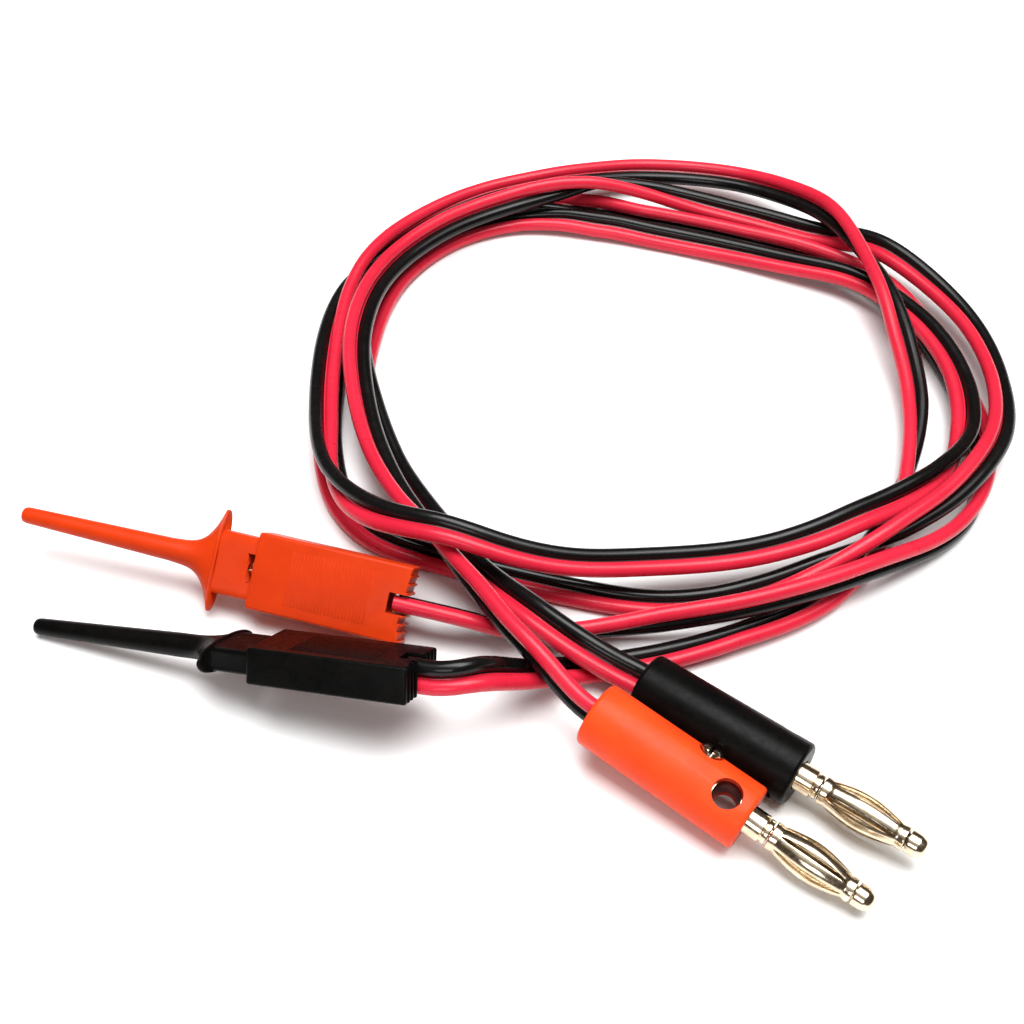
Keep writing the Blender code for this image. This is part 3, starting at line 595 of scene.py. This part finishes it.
def skin(bm, rings, closed=False):
    """Faces between rings of points; a ring of one point closes to a tip."""
    pairs = list(zip(rings, rings[1:]))
    if closed:
        pairs.append((rings[-1], rings[0]))
    for low, high in pairs:
        for i in range(max(len(low), len(high))):
            j = (i + 1) % max(len(low), len(high))
            if len(low) == 1:
                bm.faces.new((low[0], high[j], high[i]))
            elif len(high) == 1:
                bm.faces.new((low[i], low[j], high[0]))
            else:
                bm.faces.new((low[i], low[j], high[j], high[i]))


def turned(name, outline, matrix, steps=96, closed=False):
    """A piece turned about its Z axis from an outline of (radius, height) in mm."""
    bm = bmesh.new()
    rings = []
    for radius, height in outline:
        if radius < 0.001:
            rings.append([bm.verts.new((0, 0, height * MM))])
            continue
        ring = []
        for i in range(steps):
            angle = 2 * math.pi * i / steps
            place = (radius * math.cos(angle), radius * math.sin(angle), height)
            ring.append(bm.verts.new(Vector(place) * MM))
        rings.append(ring)
    skin(bm, rings, closed)
    return as_object(name, as_mesh(bm, name), matrix)


def rod(radius, start, end, matrix, steps=64):
    """A round cutter along Z."""
    return turned("cutter", [(0, start), (radius, start), (radius, end), (0, end)], matrix, steps)


def block(low, high, matrix, turn=0.0, axis="Z"):
    """A box from corner low to corner high in mm, turned about an axis through its middle."""
    bm = bmesh.new()
    bmesh.ops.create_cube(bm, size=1.0)
    bmesh.ops.scale(bm, vec=[(b - a) * MM for a, b in zip(low, high)], verts=bm.verts)
    bmesh.ops.rotate(bm, matrix=Matrix.Rotation(math.radians(turn), 3, axis), verts=bm.verts)
    middle = Vector([(a + b) / 2 * MM for a, b in zip(low, high)])
    bmesh.ops.translate(bm, vec=middle, verts=bm.verts)
    return as_object("cutter", as_mesh(bm, "cutter"), matrix)


def settle_mesh(obj):
    """Applies the modifiers of obj and marks its edges again."""
    bpy.context.view_layer.update()
    graph = bpy.context.evaluated_depsgraph_get()
    mesh = bpy.data.meshes.new_from_object(obj.evaluated_get(graph))
    obj.modifiers.clear()
    obj.data = mesh
    mesh.shade_smooth()
    mesh.set_sharp_from_angle(angle=math.radians(SHARP))


def combine(obj, others, operation="DIFFERENCE"):
    """Cuts others out of obj, or joins them to it, and removes them."""
    for other in others:
        boolean = obj.modifiers.new("combine", "BOOLEAN")
        boolean.operation = operation
        boolean.solver = "EXACT"
        boolean.object = other
        settle_mesh(obj)
        bpy.data.objects.remove(other, do_unlink=True)


def soften(obj, width, angle=40.0, segments=2):
    """Rounds the edges that are sharper than angle."""
    bevel = obj.modifiers.new("soften", "BEVEL")
    bevel.width = width * MM
    bevel.segments = segments
    bevel.limit_method = "ANGLE"
    bevel.angle_limit = math.radians(angle)
    settle_mesh(obj)


def wire(name, points, radius, matrix, sides=6):
    """A round wire through points in mm, with closed ends."""
    curve = bpy.data.curves.new(name, "CURVE")
    curve.dimensions = "3D"
    curve.bevel_depth = radius * MM
    curve.bevel_resolution = sides
    curve.use_fill_caps = True
    line = curve.splines.new("POLY")
    line.points.add(len(points) - 1)
    for point, place in zip(line.points, points):
        point.co = (*(c * MM for c in place), 1.0)
    line.use_smooth = True
    return as_object(name, curve, matrix)


def as_solid(curve):
    """The same piece as a mesh."""
    bpy.context.view_layer.update()
    graph = bpy.context.evaluated_depsgraph_get()
    mesh = bpy.data.meshes.new_from_object(curve.evaluated_get(graph))
    name, matrix = curve.name, curve.matrix_world.copy()
    bpy.data.objects.remove(curve, do_unlink=True)
    mesh.name = name
    return as_object(name, mesh, matrix)


def dress(obj, mat, body, node):
    """Gives obj its material and its body, in place of the CAD node that it stands for."""
    if obj.type == "MESH":
        own = obj.data.attributes.new("own_place", "FLOAT_VECTOR", "POINT")
        for value, vertex in zip(own.data, obj.data.vertices):
            value.vector = vertex.co
        obj.data.transform(obj.matrix_world)
        obj.matrix_world = Matrix()
    obj.data.materials.clear()
    obj.data.materials.append(mat)
    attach(obj, body)
    if node:
        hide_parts(node)
    return obj


def standing(at, heading, roll, fall=0.0):
    """The frame of a plug or clip: Z runs along it, and X points down before the roll."""
    turn = Matrix.Rotation(math.radians(heading), 4, "Z")
    turn = turn @ Matrix.Rotation(math.radians(90.0 + fall), 4, "Y")
    turn = turn @ Matrix.Rotation(math.radians(roll), 4, "Z")
    return Matrix.Translation((Vector(at) - Vector(ORIGIN)) * MM) @ turn


# Cords -----------------------------------------------------------------------------------


def make_web(name, middle, across):
    """Half of the thin web that bonds the two conductors, from their middle to one of them."""
    ahead = np.gradient(middle, axis=0)
    up = np.cross(ahead, across)
    up *= WEB_HALF_THICKNESS / np.linalg.norm(up, axis=1)[:, None]
    bm = bmesh.new()
    rings = []
    for at, side, rise in zip(middle, across * 0.9, up):
        corners = (at - rise * 0.75, at + rise * 0.75, at + side + rise, at + side - rise)
        rings.append([bm.verts.new(Vector(corner) * MM) for corner in corners])
    skin(bm, rings)
    bm.faces.new(rings[0][::-1])
    bm.faces.new(rings[-1])
    return as_object(name, as_mesh(bm, name), Matrix())


def make_cords(red_vinyl, black_vinyl):
    """The four conductors on their routes, each with its half of the web."""
    leads = [lay_out(with_ends(RED_ROUTE, "red")), lay_out(with_ends(BLACK_ROUTE, "black"))]
    for lead, colour in zip(leads, ("red", "black")):
        hold_ends(lead, colour)
    places, offset, count = settle(leads)
    for colour, start, end in (("red", 0, count), ("black", count, len(places))):
        middle, across = places[start:end], offset[start:end]
        pair = (("red", 1, red_vinyl), ("black", -1, black_vinyl))
        for (strand, sign, mat), length in zip(pair, CORD_LENGTHS[colour]):
            node = f"{colour}_lead_{strand}_wire"
            line = middle + sign * across - np.array(ORIGIN)
            cord = wire(f"{colour}_lead_{strand}_cord", line, WIRE_DIAMETER / 2, Matrix(), 7)
            dress(cord, mat, "leads", node)
            web = make_web(f"{colour}_lead_{strand}_web", middle - np.array(ORIGIN), sign * across)
            dress(web, mat, "leads", None)


# Banana plug -----------------------------------------------------------------------------


def cross_hole(plug):
    """The frame of the stacking hole: Z runs along it."""
    return plug @ Matrix.Translation((0, 0, STACK_HOLE_AT * MM)) @ Matrix.Rotation(math.pi / 2, 4, "Y")


def make_sleeve(name, plug, seat):
    """The plastic barrel, with the cross hole and the pocket over the screw."""
    lip = PIN_RADIUS + 0.25
    bore = CORE_RADIUS + 0.25
    outline = rounded(
        [
            (SLEEVE_RADIUS, SLEEVE_LENGTH, 0.55), (SLEEVE_RADIUS, 0.0, 0.7), (bore, 0.0, 0.3),
            (bore, SLEEVE_LENGTH - 1.0, 0.0), (lip, SLEEVE_LENGTH - 1.0, 0.0),
            (lip, SLEEVE_LENGTH, 0.15),
        ],
        closed=True,
    )
    sleeve = turned(name, outline, plug, closed=True)
    across = cross_hole(plug)
    pocket = rod(1.85, CORE_RADIUS - 0.5, SLEEVE_RADIUS + 1, seat, 48)
    combine(sleeve, [rod(STACK_HOLE_RADIUS, -6, 6, across), pocket])
    soften(sleeve, 0.12)
    return sleeve


def make_core(name, plug, seat):
    """The turned body with its stacking hole, grooved collar, stem and riveted tip."""
    shoulder = SLEEVE_LENGTH - 1.25
    tip = CAGE_END + 0.25
    outline = rounded(
        [
            (0.0, PLUG_LENGTH, 0), (1.15, PLUG_LENGTH - 0.02, 0.8), (1.6, PLUG_LENGTH - 1.1, 0.9),
            (1.66, tip + 0.3, 0.2), (1.66, tip, 0.12), (1.0, tip, 0), (1.0, CAGE_START - 0.25, 0.1),
            (1.82, CAGE_START - 0.25, 0.1), (1.82, 27.15, 0.15), (1.7, 27.1, 0.08), (1.7, 26.95, 0.08),
            (PIN_RADIUS, 26.85, 0.15), (PIN_RADIUS, shoulder, 0), (CORE_RADIUS, shoulder, 0.1),
            (CORE_RADIUS, 7.0, 0.15), (1.6, 7.0, 0.1), (1.6, 18.0, 0), (0.0, 18.0, 0),
        ],
        steps=4,
    )
    core = turned(name, outline, plug, 72)
    across = cross_hole(plug)
    combine(core, [rod(STACK_HOLE_RADIUS - 0.1, -4, 4, across), rod(1.25, 0.5, 4, seat, 40)])
    soften(core, 0.08)
    return core


def make_cage(name, plug):
    """The lantern spring: leaves cut from one tube and bowed outwards between two rings."""
    bm = bmesh.new()
    length, ring, leaves = CAGE_END - CAGE_START, CAGE_RING, CAGE_LEAVES
    columns, rows = 12, 34  # faces across and along one leaf
    heights = [0.0, 0.12, 0.55, 0.95]
    heights += [ring + (length - 2 * ring) * i / rows for i in range(rows + 1)]
    heights += [length - 0.95, length - 0.55, length - 0.12, length]
    grid = {}
    for row, height in enumerate(heights):
        share = (height - ring) / (length - 2 * ring)
        open_share = min(max(share, 0.0), 1.0)
        tube = PIN_RADIUS - 0.25 * open_share
        bow = CAGE_BOW * math.sin(math.pi * open_share) ** 1.1
        ease = min(1.0, 9.0 * min(open_share, 1 - open_share))
        slit = SLIT_HALF_WIDTH * math.sqrt(max(0.0, 1 - (1 - ease) ** 2))
        lip = 0.1 if height in (0.0, length) else 0.0
        dip = 0.09 if 0.9 < height < ring + 0.2 or length - ring - 0.2 < height < length - 0.9 else 0.0
        for leaf in range(leaves):
            middle = 2 * math.pi * (leaf + 0.5) / leaves
            half = math.pi / leaves - slit / tube
            for column in range(columns + 1):
                turn = middle + half * (2 * column / columns - 1)
                for side, radius in ((0, tube - lip - dip), (1, tube - CAGE_WALL - dip)):
                    x = radius * math.cos(turn) + bow * math.cos(middle)
                    y = radius * math.sin(turn) + bow * math.sin(middle)
                    key = (leaf, row, column, side)
                    grid[key] = bm.verts.new(Vector((x, y, CAGE_START + height)) * MM)
    last = len(heights) - 1
    for leaf in range(leaves):
        for row in range(last):
            for column in range(columns):
                for side in (0, 1):
                    corners = [(row, column), (row, column + 1), (row + 1, column + 1), (row + 1, column)]
                    bm.faces.new([grid[(leaf, r, c, side)] for r, c in corners])
            if 3 < row < last - 4:
                for column in (0, columns):
                    walls = [(row, 0), (row + 1, 0), (row + 1, 1), (row, 1)]
                    bm.faces.new([grid[(leaf, r, column, side)] for r, side in walls])
        for row in (0, last):
            for column in range(columns):
                ends = [(column, 0), (column + 1, 0), (column + 1, 1), (column, 1)]
                bm.faces.new([grid[(leaf, row, c, side)] for c, side in ends])
    return as_object(name, as_mesh(bm, name), plug)


def make_screw(name, seat):
    """The slotted clamp screw, along the Z of its seat."""
    top, head = SCREW_TOP, SCREW_HEAD_RADIUS
    outline = rounded(
        [
            (0.0, top, 0), (1.15, top - 0.06, 0.3), (head, top - 0.45, 0.35),
            (head, CORE_RADIUS + 0.3, 0.1), (1.0, CORE_RADIUS + 0.3, 0), (1.0, 1.6, 0.2), (0.0, 1.45, 0),
        ],
        steps=4,
    )
    screw = turned(name, outline, seat, 64)
    combine(screw, [block((-3, -0.28, top - 0.7), (3, 0.28, top + 1.0), seat)])
    soften(screw, 0.06)
    return screw


def paint_bore_shade(core, middle, along, mat):
    """Gives the wall of the cross hole a dark red-brown second material: painted shade, tinted red as a
    painted reflection of orange plastic.
    """
    core.data.materials.append(mat)
    for face in core.data.polygons:
        out = face.center - middle
        # Faces inside the cross hole get the painted shade and painted red reflection.
        if (out - along * out.dot(along)).length < (STACK_HOLE_RADIUS - 0.06) * MM:
            if abs(out.dot(along)) < (CORE_RADIUS - 0.1) * MM:
                face.material_index = 1


def make_plug(colour, plastic, metal, copper, bore):
    """One banana plug, with its screw turned to its place round the barrel."""
    spot = PLUGS[colour]
    plug = standing(spot["at"], spot["heading"], spot["roll"], spot["fall"])
    turn = Euler((-math.pi / 2, 0, math.radians(SCREW_TURN))).to_matrix().to_4x4()
    seat = plug @ Matrix.Translation((0, 0, SCREW_AT * MM)) @ turn
    name, skin_slot = f"{colour}_plug", SKIN_SLOTS[colour]
    dress(make_sleeve(f"{name}_barrel", plug, seat), plastic, "leads", f"{name}_sleeve")
    core = dress(make_core(f"{name}_core", plug, seat), metal, "leads", f"{name}_pin")
    # The cross hole's wall is painted dark red-brown: painted shade with a painted reflection of orange
    # light.
    paint_bore_shade(core, plug @ Vector((0, 0, STACK_HOLE_AT * MM)), plug.to_3x3() @ Vector((1, 0, 0)), bore)
    dress(make_cage(f"{name}_lantern", plug), metal, f"{colour}_cage", f"{name}_spring_cage")
    dress(make_screw(f"{name}_screw", seat), metal, f"{colour}_screw", f"{name}_clamp_screw")
    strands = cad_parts[f"{name}_stripped_wire"]
    strands.data.materials.clear()
    strands.data.materials.append(copper)


# Hook clip -------------------------------------------------------------------------------


def superellipse(bm, half_depth, half_span, squareness, height):
    """A ring of points, round at squareness 2 and nearly square at 9."""
    ring = []
    for i in range(RING_POINTS):
        angle = 2 * math.pi * (i + 0.5) / RING_POINTS
        c, s = math.cos(angle), math.sin(angle)
        x = half_depth * math.copysign(abs(c) ** (2 / squareness), c)
        y = half_span * math.copysign(abs(s) ** (2 / squareness), s)
        ring.append(bm.verts.new(Vector((x, y, height)) * MM))
    return ring


def make_nose(name, clip):
    """Tapered barrel that fans out into the finger flange, then the flat forked neck."""
    sections = [(0.0, 0.0, 2, 0.0), (0.62, 0.62, 2, 0.0), (0.85, 0.85, 2, 0.05), (1.08, 1.08, 2, 0.22)]
    sections += [(1.2, 1.2, 2, 0.5), (1.26, 1.26, 2, 1.0)]
    sections += [(1.26 + 0.49 * i / 8, 1.26 + 0.49 * i / 8, 2, 1.0 + 23.0 * i / 8) for i in range(1, 9)]
    for i in range(1, 21):
        share = i / 20
        depth = 1.75 + 0.3 * share**3
        span = 1.78 + 0.5 * share + 5.35 * share**4.2
        squareness = 2 - 0.25 * math.sin(math.pi * share)
        sections.append((depth, span, squareness, FLARE_START + FLARE_LENGTH * share))
    sections += [(2.2, 7.68, 2.2, 31.3), (2.3, 7.7, 2.3, 31.42), (2.28, 7.64, 2.3, 31.66)]
    sections += [(2.2, 7.5, 2.3, 31.74), (1.9, 4.8, 5, 31.8), (*NECK, 9, 31.95)]
    sections += [(*NECK, 9, NECK_END - 0.3), (1.6, 4.5, 9, NECK_END), (0.0, 0.0, 2, NECK_END)]
    bm = bmesh.new()
    rings = []
    for depth, span, squareness, height in sections:
        if depth == 0.0:
            rings.append([bm.verts.new((0, 0, height * MM))])
        else:
            rings.append(superellipse(bm, depth, span, squareness, height))
    skin(bm, rings)
    nose = as_object(name, as_mesh(bm, name), clip)
    bore = rod(0.6, -1.0, SHOULDER + 1.0, clip, 32)
    mouth = rod(0.95, -1.0, 3.4, clip, 40)
    fork = block((-3, -FORK_HALF_WIDTH, SHOULDER), (3, FORK_HALF_WIDTH, NECK_END + 1), clip)
    combine(nose, [bore, mouth, fork])
    soften(nose, 0.1, 50.0)
    return nose


def rounded_box(name, corners, start, end, matrix, round_end):
    """A box drawn along Z from a rounded rectangle, with softened ends."""
    bm = bmesh.new()
    rings = []
    half_x, half_y = corners
    steps = [(0, 1.0), (0.13, 0.5), (0.5, 0.13), (1.0, 0)]
    levels = [(start + a * round_end, b * round_end) for a, b in steps]
    levels += [(end - a * round_end, b * round_end) for a, b in reversed(steps)]
    for height, inset in levels:
        x, y = half_x - inset * 0.6, half_y - inset * 0.6
        outline = rounded([(x, y, 0.4), (-x, y, 0.4), (-x, -y, 0.4), (x, -y, 0.4)], closed=True)
        rings.append([bm.verts.new(Vector((px, py, height)) * MM) for px, py in outline])
    skin(bm, rings)
    bm.faces.new(rings[0][::-1])
    bm.faces.new(rings[-1])
    return as_object(name, as_mesh(bm, name), matrix)


def make_thumb_body(name, clip):
    """The flat sleeve that the thumb pushes, with fine grip ribs and a stepped rear edge."""
    body = rounded_box(name, BODY, BODY_START, CLIP_LENGTH, clip, 0.4)
    deep, wide = CAVITY
    gap = CORD_SLOT_HALF_WIDTH
    cavity = block((-deep, -wide, BODY_START - 1), (deep, wide, CLIP_LENGTH - 3.6), clip)
    slot = block((-4, -gap, CLIP_LENGTH - 2.8), (4, gap, CLIP_LENGTH + 1), clip)
    way = block((-deep, -gap, CLIP_LENGTH - 4.5), (deep, gap, CLIP_LENGTH), clip)
    combine(body, [cavity, slot, way])
    teeth = []
    for at, depth in TEETH:
        low = (-4, at - 0.55, CLIP_LENGTH - depth)
        teeth.append(block(low, (4, at + 0.45, CLIP_LENGTH + 1), clip, 10, "X"))
    combine(body, teeth)
    ribs = []
    for i in range(RIBS):
        at = FIRST_RIB + RIB_PITCH * i
        for side in (-1, 1):
            low, high = sorted(side * face for face in RIB_FACES)
            ribs.append(block((low, -RIB_HALF_LENGTH, at), (high, RIB_HALF_LENGTH, at + 0.26), clip))
    combine(body, ribs, "UNION")
    soften(body, 0.06, 50.0, 2)
    return body


def make_hook(name, clip):
    """The contact wire, bent back on itself just inside the nose."""
    bend, start = HOOK_BEND, 1.4
    points = [(0.0, -bend, 55.0), (0.0, -bend, start)]
    for i in range(1, 13):
        angle = math.pi * i / 12
        points.append((0.0, -bend * math.cos(angle), start - bend * math.sin(angle)))
    points.append((0.0, bend, start + 1.0))
    return as_solid(wire(name, points, HOOK_RADIUS, clip, 4))


def make_spring(name, clip):
    """The coil that pushes the nose forward, at its length at rest."""
    low, high, turns = SHOULDER + 0.45, SPRING_TOP, SPRING_TURNS
    points = []
    for i in range(turns * 24 + 1):
        share = i / (turns * 24)
        angle = 2 * math.pi * turns * share
        height = low + (high - low) * share
        points.append((SPRING_RADIUS * math.cos(angle), SPRING_RADIUS * math.sin(angle), height))
    return as_solid(wire(name, points, SPRING_WIRE, clip, 3))


def make_clip(colour, plastic, metal, steel, tin):
    """One hook clip, its coil made at its length at rest; on the real clip the spring shortens along the
    clip as the nose slides back.
    """
    spot = CLIPS[colour]
    clip = standing(spot["at"], spot["heading"], spot["roll"], spot["fall"])
    name, skin_slot = f"{colour}_clip", SKIN_SLOTS[colour]
    dress(make_nose(f"{name}_barrel", clip), plastic, f"{colour}_nose", f"{name}_nose")
    dress(make_thumb_body(f"{name}_grip", clip), plastic, "leads", f"{name}_thumb_body")
    dress(make_hook(f"{name}_contact", clip), metal, "leads", f"{name}_hook")
    spring = make_spring(f"{name}_coil", clip)
    dress(spring, steel, "leads", f"{name}_spring")
    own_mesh(spring)
    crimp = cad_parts[f"{name}_crimp"]
    crimp.data.materials.clear()
    crimp.data.materials.append(tin)


def main():
    """The stage first, then the cords, then each plug with its clip."""
    bpy.context.scene.view_settings.view_transform = "Standard"
    add_camera()
    add_world()
    add_floor()
    add_light("softbox", (0.02, 0.06, 0.5), (0.0, 0.03, 0.0), (0.42, 0.3), 3.1)
    add_light("front", (-0.15, -0.45, 0.3), (0.0, 0.0, 0.0), (0.25, 0.2), 0.8)
    add_sun((0.25, 0.1, 1.0), 1.85)
    make_cords(
        vinyl("red_vinyl", (0.60, 0.018, 0.042), (0.52, 0.013, 0.034), 0.3),
        vinyl("black_vinyl", (0.0025, 0.0025, 0.0025), (0.005, 0.0045, 0.0045), 0.24),
    )
    orange = moulded_orange("orange_sleeve", (0.80, 0.066, 0.011), (0.73, 0.054, 0.009))
    deep_orange = moulded_orange("orange_clip", (0.55, 0.036, 0.003), (0.49, 0.030, 0.0025))
    black = moulded_black()
    metal = plated("bright_nickel", (0.82, 0.71, 0.54), (0.60, 0.48, 0.33), 0.1)
    # Dark red-brown metal for the cross holes' walls: painted shade and a painted reflection of orange
    # light, not a finish of the plating.
    bore = plated("painted_bore_shade", (0.20, 0.030, 0.018), (0.13, 0.020, 0.012), 0.35)
    steel, copper, tin = drawn_wire(), bare_copper(), tinned()
    for colour, sleeve, clip in (("red", orange, deep_orange), ("black", black, black)):
        make_plug(colour, sleeve, metal, copper, bore)
        make_clip(colour, clip, metal, steel, tin)


main()
